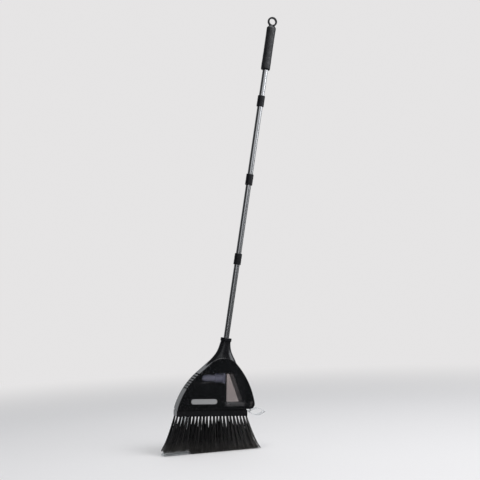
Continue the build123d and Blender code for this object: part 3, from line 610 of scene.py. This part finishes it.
def bristle_piece(name, lines, fade, rng, origin, surface, *stands_for):
    """Thin tapered three-sided filaments round their centre lines, as one mesh, with paler worn tips; the
    paleness and the painted sheen go into a point attribute.
    """
    count = len(lines)
    s = np.linspace(0, 1, RINGS)
    radius = FILAMENT_R * (1 - FILAMENT_TAPER * s ** 2)
    turn = rng.uniform(0, 2 * math.pi, (count, 1)) + np.arange(SIDES) * 2 * math.pi / SIDES
    ring = np.stack([np.cos(turn), np.sin(turn)], axis=2)
    points = np.repeat(lines[:, :, None, :], SIDES, axis=2)
    points[..., 0] += ring[:, None, :, 0] * radius[None, :, None]
    points[..., 1] += ring[:, None, :, 1] * radius[None, :, None]
    axes = np.array([HEAD_RIGHT, DEPTH, HEAD_UP])
    vertices = points.reshape(-1, 3) @ axes + np.array(origin)
    faces = []
    for f in range(count):
        first = f * RINGS * SIDES
        for r in range(RINGS - 1):
            low, high = first + r * SIDES, first + (r + 1) * SIDES
            for k in range(SIDES):
                n = (k + 1) % SIDES
                faces.append((low + k, low + n, high + n, high + k))
        faces.append(tuple(first + k for k in reversed(range(SIDES))))
        last = first + (RINGS - 1) * SIDES
        faces.append(tuple(last + k for k in range(SIDES)))
    obj = piece(name, vertices, faces, surface, "broom", "bristle", *stands_for)
    # point attribute of worn pale tips and painted sheen; the sheen is dimmed towards the block as painted
    # shade
    wear_and_sheen = obj.data.attributes.new("wear_and_sheen", "FLOAT", "POINT")
    worn_tip = WORN_TIP * rng.uniform(WORN_LEAST, 1, (count, 1)) * s[None, :] ** WORN_POWER
    level = np.clip(fade[:, None] * (ROOT_SHADE + (1 - ROOT_SHADE) * s[None, :]) + worn_tip, 0, 1)
    wear_and_sheen.data.foreach_set("value", np.repeat(level, SIDES, axis=1).astype(np.float32).ravel())


def bristles():
    """Five rows of tufts that fan out to the floor. The middle row stops at the nozzle."""
    rng = np.random.default_rng(41)
    origin = head_frame()
    surface = bristle()
    edge = 1 * MM
    left, right = (reach - origin.dot(HEAD_RIGHT) for reach in span("bristle_row_front", HEAD_RIGHT))
    nozzle = span("suction_nozzle", HEAD_RIGHT)[1] - origin.dot(HEAD_RIGHT) + NOZZLE_GAP
    block = span("brush_block", HEAD_RIGHT)
    half = (block[1] - block[0]) / 2 - TUFT_R - edge
    count = math.ceil(half / TUFT_PITCH)
    grid = np.arange(-count, count + 1) * TUFT_PITCH
    lean_left, lean_right = left + INSIDE_LEFT + half, right - INSIDE_RIGHT - half

    def floor_z(x):
        """Height of the floor in head axes."""
        return -(origin.z + x * HEAD_RIGHT.z) / HEAD_UP.z

    def fan(x):
        """Where the middle of a tuft that starts at x ends."""
        share = np.abs(x) / half
        return x + np.where(x < 0, lean_left * share ** FAN_POWER_LEFT, lean_right * share ** FAN_POWER_RIGHT)

    shape = {"half": half, "left": left + edge, "right": right - edge, "nozzle": nozzle + NOZZLE_MARGIN,
             "floor": floor_z, "fan": fan}
    for index, depth in enumerate(ROW_DEPTHS):
        middle = depth == 0
        row = grid + STAGGER * depth
        row = row[np.abs(row) <= half + TUFT_PITCH / 4]
        row = np.clip(row + rng.normal(0, TUFT_JITTER, len(row)), -half, half)
        if middle:
            row = row[row > shape["nozzle"]]
        lines, fade = filaments(rng, row, depth, shape)
        if middle:
            lines[:, :, 0] = np.maximum(lines[:, :, 0], nozzle + edge)
        stands_for = {0: ["bristle_row_front"], 2: ["bristle_core"], 4: ["bristle_row_rear"]}.get(index, [])
        bristle_piece(f"bristle_tufts_{index + 1}", lines, fade, rng, origin, surface, *stands_for)


# ---- foam grip -----------------------------------------------------------------------------

def ring_faces(rings, sides, closed=True):
    """Quads between rings of equal size; closed joins the last ring to the first."""
    faces = []
    for r in range(rings if closed else rings - 1):
        low, high = r * sides, (r + 1) % rings * sides
        for k in range(sides):
            n = (k + 1) % sides
            faces.append((low + k, low + n, high + n, high + k))
    return faces


def foam_sleeve():
    """Foam sleeve on the handle: rolled ends, a slightly lumpy skin and a slight waist."""
    low, high = span("foam_grip", TUBE_UP)
    outer = span("foam_grip", DEPTH)[1]
    bore = span("handle_tube_4", DEPTH)[1]
    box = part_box("foam_grip")
    centre = (box[0] + box[1]) / 2
    sides, rows, roll_steps, roll = 72, 90, 6, 3.5 * MM
    coarse, fine, waist, inset = 0.35 * MM, 0.12 * MM, 0.45 * MM, 0.35 * MM
    length = high - low
    profile = [(bore, 0.0)]
    for i in range(roll_steps + 1):
        turn = math.pi / 2 * i / roll_steps
        profile.append((outer - roll + roll * math.sin(turn), roll - roll * math.cos(turn)))
    for i in range(1, rows):
        profile.append((outer, roll + (length - 2 * roll) * i / rows))
    for i in range(roll_steps + 1):
        turn = math.pi / 2 * (1 - i / roll_steps)
        profile.append((outer - roll + roll * math.sin(turn), length - roll + roll * math.cos(turn)))
    profile.append((bore, length))
    base = TUBE_UP * low + TUBE_RIGHT * centre.dot(TUBE_RIGHT)
    vertices = []
    for radius, height in profile:
        for k in range(sides):
            turn = 2 * math.pi * k / sides
            out = TUBE_RIGHT * math.cos(turn) + DEPTH * math.sin(turn)
            here = base + TUBE_UP * height + out * radius
            if radius > bore:
                lump = noise.noise(here * 60) * coarse + noise.noise(here * 240) * fine
                narrowing = waist * math.sin(math.pi * height / length) ** 2
                here -= out * (inset - lump + narrowing) * min(1, (radius - bore) / (2 * MM))
            vertices.append(here)
    faces = ring_faces(len(profile), sides)
    obj = piece("foam_sleeve", vertices, faces, foam(), "broom", "foam", "foam_grip")


# ---- filter --------------------------------------------------------------------------------

def pleated_filter():
    """Round filter folded into pleats, standing upright behind its frame."""
    low, high = span("filter_pad", HEAD_RIGHT)
    near, far = span("filter_pad", DEPTH)
    radius = (far - near) / 2
    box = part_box("filter_pad")
    centre = (box[0] + box[1]) / 2
    folds, margin, narrowest = 22, 0.02, 0.8 * MM
    vertices, faces = [], []
    for i in range(folds + 1):
        y = -radius + 2 * radius * (i + margin) / (folds + 2 * margin)
        half = math.sqrt(max(radius ** 2 - y ** 2, narrowest ** 2))
        x = (low if i % 2 else high) - centre.dot(HEAD_RIGHT)
        for side in (-1, 1):
            vertices.append(centre + HEAD_RIGHT * x + DEPTH * y + HEAD_UP * (side * half))
        if i:
            a = 2 * i
            faces.append((a - 2, a - 1, a + 1, a))
    obj = piece("pleated_filter", vertices, faces, felt(), "broom", "filter_felt", "filter_pad")
    thick = obj.modifiers.new("paper", "SOLIDIFY")
    thick.thickness = 0.35 * MM
    thick.offset = 0
    obj.data.polygons.foreach_set("use_smooth", [False] * len(obj.data.polygons))


# ---- return spring -------------------------------------------------------------------------
SPRING_TURNS = 6
SPRING_WIRE = 0.45 * MM     # wire radius


def return_spring():
    """Coil between the nozzle's rear arm and the duct."""
    low, high = span("nozzle_spring", HEAD_UP)
    near, far = span("nozzle_spring", DEPTH)
    left, right = span("nozzle_spring", HEAD_RIGHT)
    radius = (right - left) / 2 - SPRING_WIRE
    axis = HEAD_RIGHT * ((left + right) / 2) + DEPTH * ((near + far) / 2)
    length = high - low - 2 * SPRING_WIRE
    steps, sides, closing = 36 * SPRING_TURNS, 10, 0.75     # closing draws the end turns together
    vertices = []
    for i in range(steps + 1):
        share = i / steps
        turn = 2 * math.pi * SPRING_TURNS * share
        rise = share - closing * math.sin(2 * math.pi * share) / (2 * math.pi)
        out = HEAD_RIGHT * math.cos(turn) + DEPTH * math.sin(turn)
        centre = axis + HEAD_UP * (low + SPRING_WIRE + length * rise) + out * radius
        for k in range(sides):
            around = 2 * math.pi * k / sides
            vertices.append(centre + (out * math.cos(around) + HEAD_UP * math.sin(around)) * SPRING_WIRE)
    faces = ring_faces(steps + 1, sides, closed=False)
    faces.append(tuple(reversed(range(sides))))
    faces.append(tuple(steps * sides + k for k in range(sides)))
    obj = piece("return_spring", vertices, faces, zinc(), "broom", "zinc_steel", "nozzle_spring")
    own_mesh(obj)


# ---- making --------------------------------------------------------------------------------
bpy.context.scene.view_settings.view_transform = "Standard"
camera()
world()
lights()
floor()
dress_nodes()
bristles()
foam_sleeve()
pleated_filter()
return_spring()
